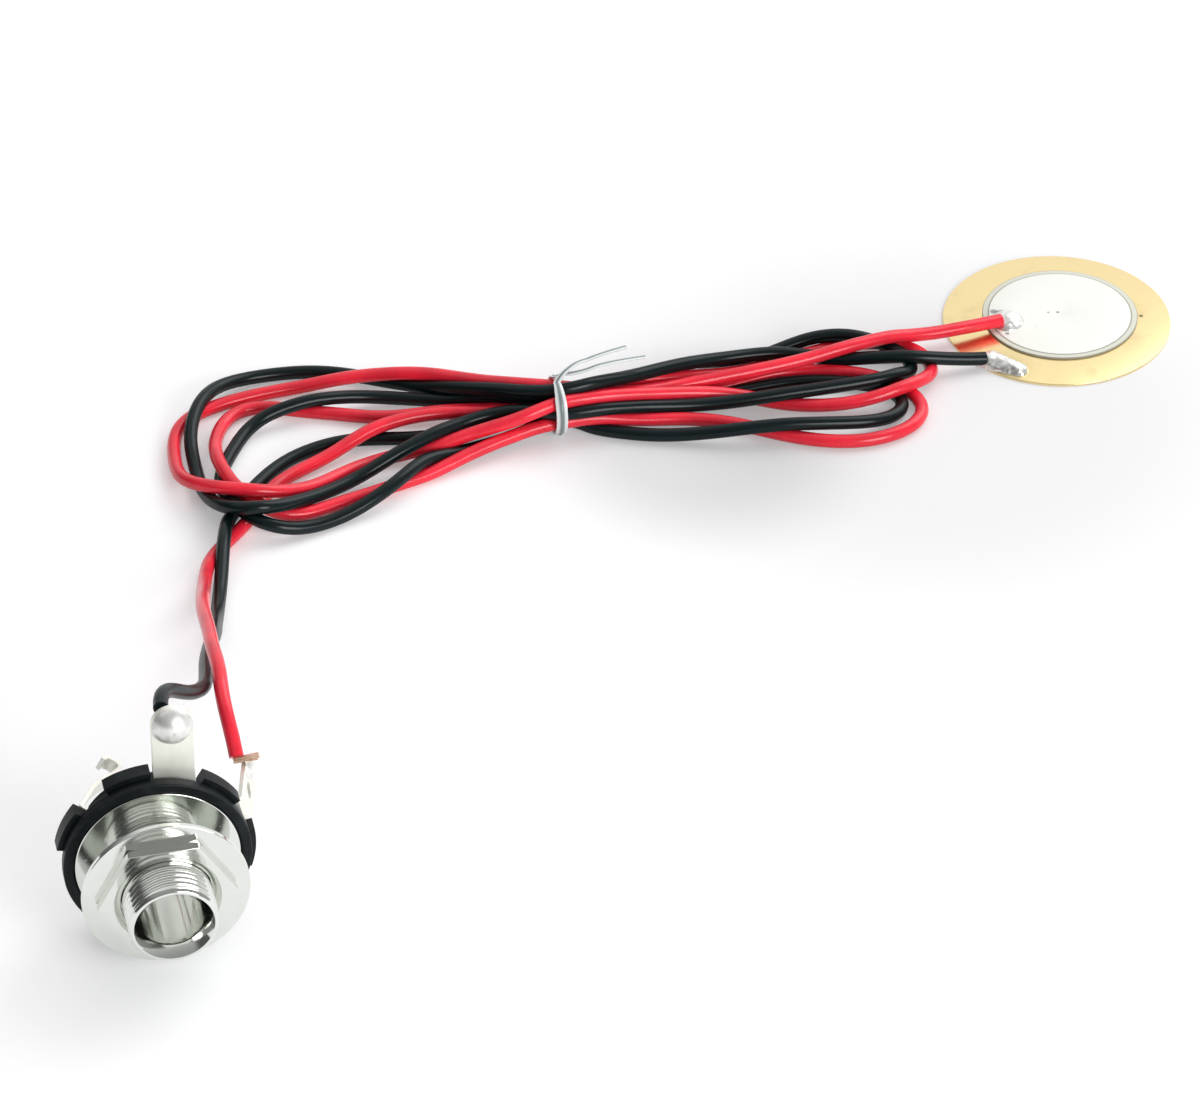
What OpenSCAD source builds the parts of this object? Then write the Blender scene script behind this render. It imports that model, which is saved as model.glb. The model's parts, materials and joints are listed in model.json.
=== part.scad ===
// Drum trigger transducer: a piezo sensor disc wired to a panel jack by a tied pair of thin wires.
// The origin is the centre of the disc's underside, on the surface that everything lies on.
// The jack's axis is level and its plug entry faces -Y.

/* [Sensor disc] */
// Diameter of the brass plate
plate_d = 27; // [24:0.5:35]
// Thickness of the brass plate
plate_t = 0.3; // [0.2:0.05:0.6]
// Diameter of the ceramic disc
ceramic_d = 18.4; // [15:0.1:20]
// Thickness of the ceramic disc
ceramic_t = 0.25; // [0.15:0.05:0.5]
// Diameter of the silver electrode
electrode_d = 16.8; // [12:0.1:18.4]
// Thickness of the silver electrode
electrode_t = 0.05; // [0.03:0.01:0.1]
// How far the ceramic was bonded off centre, in X
ceramic_dx = 0.6; // [-1:0.1:1]
// How far the ceramic was bonded off centre, in Y
ceramic_dy = 0.7; // [-1:0.1:1]

/* [Disc solder] */
// Diameter of the joint on the electrode
electrode_joint_d = 3.6; // [1.8:0.1:4]
// Height of the joint on the electrode
electrode_joint_h = 0.9; // [0.6:0.1:1.8]
// Length of the joint on the brass
plate_joint_len = 5.6; // [3:0.1:7]
// Width of the joint on the brass
plate_joint_w = 2.7; // [1.6:0.1:3]
// Height of the joint on the brass
plate_joint_h = 1.3; // [0.6:0.1:1.8]

/* [Jack bushing] */
// Outer diameter of the threaded bushing
bushing_d = 9.5; // [9:0.1:10]
// Length of the bushing in front of its flange
bushing_len = 10.9; // [9:0.1:16]
// Diameter of the plug bore
bore_d = 6.6; // [6.3:0.05:7]
// Diameter of the lead-in at the front edge of the bore
lead_in_d = 8.4; // [7.2:0.1:8.6]
// Depth of the lead-in
lead_in_len = 1.2; // [0.5:0.1:2]
// Diameter of the flange
flange_d = 17.4; // [14:0.1:18]
// Thickness of the flange
flange_t = 0.8; // [0.5:0.1:1]
// Outer diameter of the tail that clamps the insulators
tail_d = 8; // [7.6:0.1:9]
// Diameter of the tail's rolled lip
lip_d = 9.6; // [9.3:0.1:10.6]
// Thickness of the rolled lip
lip_t = 0.6; // [0.4:0.1:1]

/* [Nut and washer] */
// Width of the nut across its flats
nut_af = 12.7; // [12:0.1:16]
// Thickness of the nut
nut_t = 1.2; // [1:0.1:3]
// How far the bushing stands out in front of the nut
nut_proud = 4.2; // [1:0.1:5]
// Turn of the nut on the thread, in degrees
nut_turn = 1.5; // [0:0.5:60]
// Diameter of the washer
washer_d = 17.6; // [14:0.1:19]
// Thickness of the washer
washer_t = 0.7; // [0.4:0.1:1.2]

/* [Insulators] */
// Diameter of the front insulator
rim_d = 19.8; // [18.8:0.1:20.4]
// Thickness of the front insulator
rim_t = 1.3; // [1.2:0.1:2]
// Diameter over the tabs of the slotted insulator
tab_d = 21; // [20:0.1:24]
// Thickness of the slotted insulator
tab_t = 1.7; // [1.2:0.1:3]
// Width of each tab, in degrees
tab_span = 28; // [16:1:36]
// Diameter of the slotted insulator between its tabs
slot_d = 17.2; // [16:0.1:18.4]
// Diameter of the rear insulator
hub_d = 15; // [13.5:0.1:16]
// Thickness of the rear insulator
hub_t = 2; // [1.4:0.1:4]

/* [Terminals] */
// Width of the sleeve lug
lug_w = 4.4; // [3:0.1:5]
// Height of the sleeve lug's end above the jack's axis
lug_len = 18.5; // [15:0.5:24]
// Thickness of the sleeve lug
lug_t = 0.8; // [0.4:0.1:1]
// Distance of the lug's centre line from the jack's axis
lug_dx = 2.3; // [0:0.1:2.6]
// Diameter of the wire hole in the sleeve lug
lug_hole_d = 1.8; // [1.4:0.1:2.4]
// Height of the solder dome on the sleeve lug
dome_h = 1.5; // [0.8:0.1:2]
// Thickness of the tip contact's sheet
contact_t = 0.5; // [0.3:0.05:0.8]
// Width of the solder tag
tag_w = 4.2; // [3:0.1:5]
// Length of the solder tag behind its bend
tag_len = 6.3; // [4:0.1:10]
// Outward lean of the solder tag, in degrees
tag_lean = 14; // [0:1:25]
// Diameter of the eyelet in the solder tag
tag_hole_d = 1.8; // [1.2:0.1:2.4]
// Width of the contact spring at its fold
spring_w = 2.6; // [1.6:0.1:3.6]
// Width of the contact spring at its tip
spring_tip_w = 1.3; // [0.8:0.1:2.4]
// Distance of the spring's contact bend behind the insulator
spring_reach = 10.6; // [8:0.1:14]
// Distance of the spring's contact bend from the jack's axis
spring_gap = 2.4; // [1.6:0.1:3]

/* [Wires] */
// Outer diameter of each insulated wire
wire_d = 1.6; // [1.2:0.1:2]
// Diameter of the bare copper strands
strand_d = 0.8; // [0.5:0.1:1]
// Height of the hank
hank_h = 4.6; // [3.4:0.1:6]
// Diameter of the hank inside the tie
neck_d = 5.6; // [4.6:0.1:7]
// Diameter of the tie wire
tie_d = 1; // [0.6:0.1:1.4]

/* [Hidden] */
$fn = 64;

// Clearances: between seated pieces, and between the thread and what turns on it
seat_gap = 0.1;
thread_gap = 0.1;

// Heights of the disc's layers
ceramic_z = plate_t;
electrode_z = ceramic_z + ceramic_t;
electrode_top = electrode_z + electrode_t;

// Places of the disc's solder joints, as angles about the disc and insets from the edge they sit near,
// and how far the joint on the brass shrinks towards its end
electrode_joint_angle = 183;
electrode_joint_inset = 1.8;
plate_joint_angle = 224;
plate_joint_inset = 1.6;
plate_joint_turn = 320;
plate_joint_taper = 0.7;

// Stations along the jack's axis, measured forward from the flange's front face
tail_end = -(rim_t + tab_t + contact_t + hub_t + lip_t);
lip_front = tail_end + lip_t;
nut_back = bushing_len - nut_proud - nut_t;
washer_back = nut_back - washer_t;
slotted_z = -rim_t - tab_t;
contact_z = slotted_z - contact_t;
hub_z = contact_z - hub_t;
front_edge = 0.2;
nut_edge = 0.3;
nut_sink = 0.5;
nut_sink_w = 0.75;

// Tabs stand round the jack, with the lug's slot between two of them
tab_angles = [-65, -5, 45, 105, 155, 235];
tab_corners = [for (a = tab_angles, side = [-0.5, 0.5]) a + side * tab_span];

// The jack lies on its lowest tab corner or on the washer, whichever is larger
jack_x = -121.4;
jack_y = -90.7;
jack_z = max(max(rim_d, washer_d) / 2, max([for (a = tab_corners) -tab_d / 2 * sin(a)]));

// Rings of sheet metal round the bushing's tail
sleeve_ring_d = 13;
contact_ring_d = 14.4;
contact_hole_d = 11;

// Tag and spring leave the contact ring as arms and turn back, the spring nearer to the axis
tag_angle = 12;
spring_angle = 150;
hub_gap = 0.1;
arm_step = 1;
hub_clear_r = hub_d / 2 + contact_t + hub_gap;
spring_r = max(tab_d / 2 - 1.5 * arm_step, hub_clear_r);
arm_r = spring_r + arm_step;
fold_r = 0.5;
fold_relief = 0.1;
contact_mid = contact_z + contact_t / 2;
tag_root = [arm_r, contact_mid - fold_r];
tag_way = [sin(tag_lean), -cos(tag_lean)];

// The spring passes the rear insulator, bows out at its waist, touches the plug at its bend
// and ends in a curl
waist_part = 0.55;
waist_bulge = 1;
curl_steps = [[0.1, -1.2], [1.4, -1.7], [2, -0.9]];
spring_root = [spring_r, contact_mid - fold_r];
touch = [spring_gap, slotted_z - spring_reach];
waist = spring_root + waist_part * (touch - spring_root) + [waist_bulge, 0];
hub_part = (spring_root[1] - hub_z) / (spring_root[1] - waist[1]);
hub_pass = [max(spring_root[0] + hub_part * (waist[0] - spring_root[0]), hub_clear_r), hub_z];
spring_line = concat([spring_root, hub_pass, waist, touch], [for (step = curl_steps) touch + step]);

// Bare strands lie across the tag's upper edge and a dome of solder below them holds them
strand_inset = 0.8;
strand_out = 1.8;
strand_in = 0.9;
strand_at = tag_root + (tag_len - strand_inset) * tag_way;
tag_dome_d = 2.6;
tag_dome_h = 0.7;

// Solder dome behind the sleeve lug
back_dome_d = 3.4;
back_dome_h = 0.9;
lug_eye = [lug_dx, lug_len - lug_w / 2];

// Hank: a lobe on each side, given by the rounds at its end, and a round neck inside the tie
tie_at = [-62.5, -9.5, tie_d + neck_d / 2];
left_rounds = [[-95.5, -5], [-95.5, -12.5]];
left_round_r = 12.5;
right_rounds = [[-26.5, -10.5]];
right_round_r = 10;
neck_len = 2 * tie_d;
twist_d = 1.7 * tie_d;
twist_root = [0, 0.6, (neck_d + twist_d) / 2];
twist_end = twist_root + [4.5, 1.8, 0];
tail_gap = 0.7;
tail_runs = [[4.5, 1.8, 0], [6.5, 0.5, 0]];

// Routes of the wires where they lie free, from the jack to the hank and from the hank to the disc
black_jack_route = [
    [-120, -88, 28], [-120, -86, 28], [-119, -83.5, 27], [-117.5, -81.5, 25], [-116, -79, 22.5],
    [-114, -75.5, 20], [-113, -71.5, 18], [-112, -64.5, 15], [-110.5, -57, 11.5], [-109, -50.5, 8],
    [-108, -44, 4.2], [-107, -38.5, 1.6], [-106, -34, 1], [-105, -30, 1.8], [-104.5, -27, 2.6],
    [-103.5, -24.5, 2.8], [-103, -21.5, 2.6], [-102, -19, 2.6]
];
red_jack_route = [
    [-111.5, -81.5, 15.3], [-111.5, -80, 16.8], [-112, -78, 18.5], [-112, -75.5, 19.5], [-111.5, -71.5, 19.5],
    [-111.5, -67, 18.5], [-111, -61, 16.5], [-110.5, -53, 13.5], [-109.5, -46, 10], [-108.5, -39, 5.4],
    [-107, -31, 2], [-106, -27.5, 1.2], [-104, -24, 0.9], [-101, -21, 0.9]
];
black_disc_route = [[-19, -7.5, 2.6], [-16.5, -7.5, 2.2], [-13.5, -7.5, 1.5], [-10.7, -7.4, 1.2]];
red_disc_route = [[-22, -3.5, 3], [-18.5, -2.5, 2], [-14.5, -2, 2], [-11, -1.5, 1.8], [-7, -0.5, 1.5]];

// Points on a path: directions, offsets and rings

function unit(v) = v / norm(v);

function heading(path, i) = unit(path[min(i + 1, len(path) - 1)] - path[max(i - 1, 0)]);

// Mitred sideways step at a point of a flat path
function side_step(path, i, w) =
    let (
        a = unit(path[max(i, 1)] - path[max(i, 1) - 1]),
        b = unit(path[min(i + 1, len(path) - 1)] - path[min(i, len(path) - 2)]),
        n = unit([-(a + b)[1], (a + b)[0]])
    )
    n * w / (n * [-a[1], a[0]]);

// The path again with its corners cut, so that it bends more evenly
function eased(path) = concat(
    [path[0]],
    [for (i = [1 : len(path) - 2]) each [(path[i - 1] + 3 * path[i]) / 4, (3 * path[i] + path[i + 1]) / 4]],
    [path[len(path) - 1]]
);

// Outline of a strip of even thickness along a flat path
function ribbon(path, t) = concat(
    [for (i = [0 : len(path) - 1]) path[i] + side_step(path, i, t / 2)],
    [for (i = [len(path) - 1 : -1 : 0]) path[i] - side_step(path, i, t / 2)]
);

function ring(centre, along, r, sides) =
    let (across = unit(cross(along, [0, 0, 1])), rise = cross(across, along))
    [for (k = [0 : sides - 1])
        let (a = 360 * (k + 0.5) / sides)
        centre + r * (cos(a) * across + sin(a) * rise)];

// Round tube along a route
module tube(route, d, sides = 8) {
    last = len(route) - 1;
    points = [for (i = [0 : last]) each ring(route[i], heading(route, i), d / 2, sides)];
    walls = [for (i = [0 : last - 1], k = [0 : sides - 1])
        let (n = (k + 1) % sides)
        [i * sides + k, i * sides + n, (i + 1) * sides + n, (i + 1) * sides + k]];
    start = [for (k = [0 : sides - 1]) sides - 1 - k];
    end = [for (k = [0 : sides - 1]) last * sides + k];
    polyhedron(points, concat([start], walls, [end]), convexity = 10);
}

// Straight rod between two points
module rod(from, to, d) {
    run = to - from;
    translate(from)
        rotate([0, acos(run[2] / norm(run)), atan2(run[1], run[0])])
            cylinder(h = norm(run), d = d, $fn = 24);
}

// Spherical cap standing on its flat side
module cap(d, h) {
    ball_r = (d * d / 4 + h * h) / (2 * h);
    intersection() {
        translate([0, 0, h - ball_r]) sphere(r = ball_r);
        cylinder(h = h, d = d);
    }
}

// Flat ring standing on z
module flat_ring(d, hole, t, z) {
    translate([0, 0, z])
        difference() {
            cylinder(h = t, d = d);
            translate([0, 0, -t]) cylinder(h = 3 * t, d = hole);
        }
}

// The jack's own frame: X right, Y up, Z forward along the axis from the flange's front face
module on_jack() {
    translate([jack_x, jack_y, jack_z]) rotate([90, 0, 0]) children();
}

// The plane of a bent arm: X away from the jack's axis, Y forward
module arm(angle, w) {
    rotate([0, 0, angle])
        rotate([90, 0, 0])
            translate([0, 0, -w / 2])
                linear_extrude(w) children();
}

// A point of the solder tag: X back along the tag, Y up across it, Z out of its face
module on_tag(point, up) {
    rotate([0, 0, tag_angle])
        translate([point[0], up, point[1]])
            rotate([0, 90 - tag_lean, 0]) children();
}

// Sensor disc

module brass_plate() {
    color("#d9b36a") cylinder(h = plate_t, d = plate_d);
}

module ceramic_disc() {
    color("#d6d0bd")
        translate([ceramic_dx, ceramic_dy, ceramic_z]) cylinder(h = ceramic_t, d = ceramic_d);
}

module silver_electrode() {
    color("#f2f0e2")
        translate([ceramic_dx, ceramic_dy, electrode_z]) cylinder(h = electrode_t, d = electrode_d);
}

module electrode_joint() {
    color("#c9c9c6")
        translate([ceramic_dx, ceramic_dy, electrode_top])
            rotate([0, 0, electrode_joint_angle])
                translate([electrode_d / 2 - electrode_joint_inset, 0, 0])
                    cap(electrode_joint_d, electrode_joint_h);
}

module plate_joint() {
    slide = plate_joint_len - plate_joint_w;
    end_w = plate_joint_taper * plate_joint_w;
    end_h = plate_joint_taper * plate_joint_h;
    color("#c9c9c6")
        rotate([0, 0, plate_joint_angle])
            translate([plate_d / 2 - plate_joint_inset, 0, plate_t])
                rotate([0, 0, plate_joint_turn - plate_joint_angle])
                    hull() {
                        translate([-slide / 2, 0, 0]) cap(plate_joint_w, plate_joint_h, $fn = 32);
                        translate([slide / 2, 0, 0]) cap(end_w, end_h, $fn = 32);
                    }
}

// Jack

module bushing() {
    outer = bushing_d / 2;
    color("#c8c6c0")
        on_jack()
            rotate_extrude()
                polygon([
                    [bore_d / 2, tail_end], [lip_d / 2, tail_end],
                    [lip_d / 2, lip_front], [tail_d / 2, lip_front],
                    [tail_d / 2, -flange_t], [flange_d / 2, -flange_t],
                    [flange_d / 2, 0], [outer, 0],
                    [outer, bushing_len - front_edge], [outer - front_edge, bushing_len],
                    [lead_in_d / 2, bushing_len], [bore_d / 2, bushing_len - lead_in_len]
                ]);
}

// The nut's corners are chamfered behind and its thread is countersunk in front
module hex_nut() {
    corner_d = nut_af / cos(30);
    hole_d = bushing_d + 2 * thread_gap;
    color("#cfccc4")
        on_jack()
            translate([0, 0, nut_back])
                difference() {
                    intersection() {
                        rotate([0, 0, nut_turn]) cylinder(h = nut_t, d = corner_d, $fn = 6);
                        union() {
                            cylinder(h = nut_edge, d1 = corner_d - 3 * nut_edge, d2 = corner_d);
                            translate([0, 0, nut_edge]) cylinder(h = nut_t, d = corner_d + nut_edge);
                        }
                    }
                    translate([0, 0, -nut_t]) cylinder(h = 3 * nut_t, d = hole_d);
                    translate([0, 0, nut_t - nut_sink])
                        cylinder(h = 2 * nut_sink, d1 = hole_d, d2 = hole_d + 4 * nut_sink_w);
                }
}

module panel_washer() {
    color("#c4c2bc")
        on_jack() flat_ring(washer_d, bushing_d + 2 * thread_gap, washer_t, washer_back);
}

module front_insulator() {
    color("#1c1d1e")
        on_jack()
            difference() {
                flat_ring(rim_d, tail_d + 2 * seat_gap, rim_t, -rim_t);
                translate([0, 0, -flange_t]) cylinder(h = rim_t, d = flange_d + 2 * seat_gap);
            }
}

// Wedge from the axis, as wide as a tab
module wedge(angle, span, r) {
    reach = r / cos(span / 2);
    rotate([0, 0, angle])
        polygon([[0, 0], reach * [cos(span / 2), -sin(span / 2)], reach * [cos(span / 2), sin(span / 2)]]);
}

// Outline of the sleeve terminal: a ring on the tail and an upright lug with a round end
module sleeve_outline() {
    circle(d = sleeve_ring_d);
    translate([lug_eye[0] - lug_w / 2, 0]) square([lug_w, lug_eye[1]]);
    translate(lug_eye) circle(d = lug_w);
}

// The seat for the sleeve terminal is cut to the terminal's own outline
module sleeve_seat() {
    circle(d = sleeve_ring_d + 2 * seat_gap);
    translate([lug_eye[0] - lug_w / 2 - seat_gap, 0]) square([lug_w + 2 * seat_gap, lug_len]);
}

module slotted_insulator() {
    color("#17181a")
        on_jack()
            translate([0, 0, slotted_z])
                difference() {
                    linear_extrude(tab_t)
                        difference() {
                            union() {
                                circle(d = slot_d);
                                intersection() {
                                    circle(d = tab_d);
                                    union() {
                                        for (a = tab_angles) wedge(a, tab_span, tab_d);
                                    }
                                }
                            }
                            circle(d = tail_d + 2 * seat_gap);
                        }
                    translate([0, 0, tab_t - lug_t]) linear_extrude(tab_t) sleeve_seat();
                }
}

module rear_insulator() {
    color("#1a1b1d")
        on_jack() {
            difference() {
                union() {
                    translate([0, 0, hub_z]) cylinder(h = hub_t, d = hub_d);
                    translate([0, 0, hub_z])
                        cylinder(h = hub_t + contact_t, d = contact_hole_d - 2 * seat_gap);
                }
                translate([0, 0, hub_z - hub_t]) cylinder(h = 3 * hub_t, d = tail_d + 2 * seat_gap);
            }
        }
}

module sleeve_terminal() {
    color("#d8d4c6")
        on_jack()
            translate([0, 0, -rim_t - lug_t])
                linear_extrude(lug_t)
                    difference() {
                        sleeve_outline();
                        circle(d = tail_d + seat_gap);
                        translate(lug_eye) circle(d = lug_hole_d);
                    }
}

// Side view of an arm's bent part: the start of the fold at a radius and the line from the fold's end
module bent_side(r, line) {
    polygon(ribbon(concat([[r - fold_r, contact_mid]], line), contact_t));
}

// Flat strip from the contact ring's middle to the fold, a little wider than the part that bends
module flat_arm(angle, w, r) {
    flat_w = w + 2 * fold_relief;
    rotate([0, 0, angle]) translate([0, -flat_w / 2]) square([r - fold_r + contact_t / 2, flat_w]);
}

// Space that narrows the spring from the rear insulator's back to its tip
module spring_taper() {
    tip = hub_z - touch[1] + spring_w;
    rotate([0, 0, spring_angle])
        translate([0, 0, hub_z])
            rotate([0, 90, 0])
                linear_extrude(2 * spring_r)
                    polygon([
                        [hub_z, -spring_w], [0, -spring_w / 2], [tip, -spring_tip_w / 2],
                        [tip, spring_tip_w / 2], [0, spring_w / 2], [hub_z, spring_w]
                    ]);
}

// A ring on the rear insulator, a tag that leans back with an eyelet, and a spring that runs back and
// inward to its contact bend and a curled end
module tip_contact() {
    color("#cfcbbf")
        on_jack() {
            translate([0, 0, contact_z])
                linear_extrude(contact_t)
                    difference() {
                        union() {
                            circle(d = contact_ring_d);
                            flat_arm(tag_angle, tag_w, arm_r);
                            flat_arm(spring_angle, spring_w, spring_r);
                        }
                        circle(d = contact_hole_d);
                    }
            difference() {
                arm(tag_angle, tag_w) bent_side(arm_r, [tag_root, tag_root + tag_len * tag_way]);
                on_tag(tag_root + tag_len / 2 * tag_way, 0)
                    cylinder(h = tag_len, d = tag_hole_d, center = true);
            }
            intersection() {
                arm(spring_angle, spring_w) bent_side(spring_r, eased(eased(spring_line)));
                spring_taper();
            }
        }
}

module sleeve_solder() {
    color("#bdbbb5")
        on_jack()
            translate([lug_eye[0], lug_eye[1], -rim_t]) {
                cap(lug_w, dome_h);
                translate([0, 0, -lug_t]) cylinder(h = lug_t, d = lug_hole_d);
                translate([0, 0, -lug_t]) mirror([0, 0, 1]) cap(back_dome_d, back_dome_h);
            }
}

module strand_line() {
    on_tag(strand_at, (tag_w + strand_d) / 2)
        translate([0, 0, -strand_in]) cylinder(h = strand_in + strand_out, d = strand_d, $fn = 24);
}

module tag_solder() {
    color("#bdbbb5")
        on_jack()
            difference() {
                on_tag(strand_at, (tag_w + strand_d - tag_dome_d) / 2)
                    translate([0, 0, contact_t / 2]) cap(tag_dome_d, tag_dome_h);
                strand_line();
            }
}

module copper_strands() {
    color("#b87a4b") on_jack() strand_line();
}

// Wires

module black_lead_jack() {
    color("#141516") tube(black_jack_route, wire_d);
}

module red_lead_jack() {
    color("#c8102e") tube(red_jack_route, wire_d);
}

module black_lead_disc() {
    color("#141516") tube(black_disc_route, wire_d);
}

module red_lead_disc() {
    color("#c8102e") tube(red_disc_route, wire_d);
}

// One lobe of the hank, from its rounded end to the neck
module lobe(rounds, r, side) {
    linear_extrude(hank_h)
        hull() {
            for (at = rounds) translate(at) circle(r = r);
            translate([tie_at[0] + side * (neck_d + neck_len) / 2, tie_at[1]]) circle(d = neck_d);
        }
}

module wire_hank() {
    color("#8e1426") {
        lobe(left_rounds, left_round_r, -1);
        lobe(right_rounds, right_round_r, 1);
        translate(tie_at) rotate([0, 90, 0]) cylinder(h = neck_len + neck_d, d = neck_d, center = true);
    }
}

module tie_wire() {
    color("#c9cbcd")
        translate(tie_at) {
            rotate([0, 90, 0])
                rotate_extrude()
                    translate([(neck_d + tie_d) / 2, 0]) circle(d = tie_d, $fn = 24);
            rod(twist_root, twist_end, twist_d);
            for (i = [0, 1]) {
                start = twist_end + [0, tail_gap * (0.5 - i) * tie_d, 0];
                rod(start, start + tail_runs[i], tie_d);
            }
        }
}

brass_plate();
ceramic_disc();
silver_electrode();
electrode_joint();
plate_joint();
bushing();
hex_nut();
panel_washer();
front_insulator();
slotted_insulator();
rear_insulator();
sleeve_terminal();
tip_contact();
sleeve_solder();
tag_solder();
copper_strands();
black_lead_jack();
red_lead_jack();
wire_hank();
black_lead_disc();
red_lead_disc();
tie_wire();
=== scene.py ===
"""Looks of the drum trigger transducer: sensor disc, panel jack and the tied pair of wires."""

import json
import math

import bmesh
import bpy
import numpy as np
from bpy.props import FloatProperty, FloatVectorProperty, IntProperty, PointerProperty
from mathutils import Matrix, Vector


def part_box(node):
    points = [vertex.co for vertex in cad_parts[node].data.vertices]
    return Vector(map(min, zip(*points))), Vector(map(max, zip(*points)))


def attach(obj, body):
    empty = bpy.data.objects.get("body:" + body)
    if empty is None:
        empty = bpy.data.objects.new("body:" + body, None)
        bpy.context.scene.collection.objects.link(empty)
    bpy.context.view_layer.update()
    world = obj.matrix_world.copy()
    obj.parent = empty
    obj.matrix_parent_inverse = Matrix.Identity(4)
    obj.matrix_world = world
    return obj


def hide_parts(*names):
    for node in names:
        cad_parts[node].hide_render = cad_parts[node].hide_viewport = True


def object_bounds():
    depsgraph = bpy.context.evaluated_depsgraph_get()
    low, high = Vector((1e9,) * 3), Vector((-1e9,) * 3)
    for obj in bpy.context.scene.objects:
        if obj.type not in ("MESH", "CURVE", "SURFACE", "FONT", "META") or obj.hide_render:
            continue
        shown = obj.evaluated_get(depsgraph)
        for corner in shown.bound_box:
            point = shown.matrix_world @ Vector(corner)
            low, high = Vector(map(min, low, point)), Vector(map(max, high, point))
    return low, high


bl_info = {
    "name": "Drum trigger transducer",
    "version": (1, 0, 0),
    "blender": (4, 5, 0),
    "location": "3D View > Sidebar > Transducer",
    "description": "Dresses the sensor disc, the panel jack and the tied wires",
    "category": "Object",
}

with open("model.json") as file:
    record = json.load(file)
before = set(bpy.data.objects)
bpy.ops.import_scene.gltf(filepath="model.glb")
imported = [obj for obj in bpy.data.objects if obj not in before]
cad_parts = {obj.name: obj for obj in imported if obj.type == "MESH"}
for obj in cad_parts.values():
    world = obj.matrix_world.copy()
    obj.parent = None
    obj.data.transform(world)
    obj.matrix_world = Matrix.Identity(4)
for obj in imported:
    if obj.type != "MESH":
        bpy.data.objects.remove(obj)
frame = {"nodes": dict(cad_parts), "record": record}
CAD_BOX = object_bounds()
BODY = "root"
MM = 0.001


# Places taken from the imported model

def node_box(node):
    """Lowest and highest corner of a CAD node, as arrays in metres."""
    low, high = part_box(node)
    return np.array(low), np.array(high)


def node_middle(node):
    low, high = node_box(node)
    return (low + high) / 2


RIM_LOW, RIM_HIGH = node_box("front_insulator")
JACK_ORIGIN = Vector(((RIM_LOW[0] + RIM_HIGH[0]) / 2, RIM_LOW[1], (RIM_LOW[2] + RIM_HIGH[2]) / 2))

# The jack's own frame: X right, Y up, Z forward along the axis from the flange's front face
JACK = Matrix((
    (1, 0, 0, JACK_ORIGIN.x),
    (0, 0, -1, JACK_ORIGIN.y),
    (0, 1, 0, JACK_ORIGIN.z),
    (0, 0, 0, 1),
))


def jack_span(node):
    """Back and front of a CAD node along the jack's axis."""
    low, high = node_box(node)
    return JACK_ORIGIN.y - high[1], JACK_ORIGIN.y - low[1]


def node_radius(node):
    """Radius of a round CAD node, from its width."""
    low, high = node_box(node)
    return (high[0] - low[0]) / 2


PLUG_BORE = next(m for m in frame["record"]["mounts"] if m["name"] == "plug_bore")
BORE_R = PLUG_BORE["dims"]["r_mm"] * MM
TIE_LOW = node_box("tie_wire")[0]

# Camera of the picture, in metres, with the focal length for a 36 mm wide sensor
CAMERA_AT = Vector((-0.18536, -0.61166, 0.43557))
CAMERA_AIM = Vector((-0.06246, -0.03346, 0.0))
CAMERA_LENS = 195.0
SENSOR_WIDTH = 36.0

# Lamps: width of the round panel, and its place from the part's middle, in metres
KEY_LAMP = (0.7, (0.55, 0.35, 0.6))
FRONT_LAMP = (0.5, (0.35, -0.75, 0.3))

# Shade painted into the floor's colour under the right-hand loops: place and radius in metres
PAINTED_FLOOR_SHADES = (((-0.047, -0.017, 0.0), 0.024), ((-0.018, -0.016, 0.0), 0.06))

# Where the tie sits along X from the disc's middle, in millimetres
TIE_DX = -62.5

# Direction of the bare strands over the tag's edge
STRAND_WAY = Vector((0.949, -0.242, 0.202)).normalized()

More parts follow.
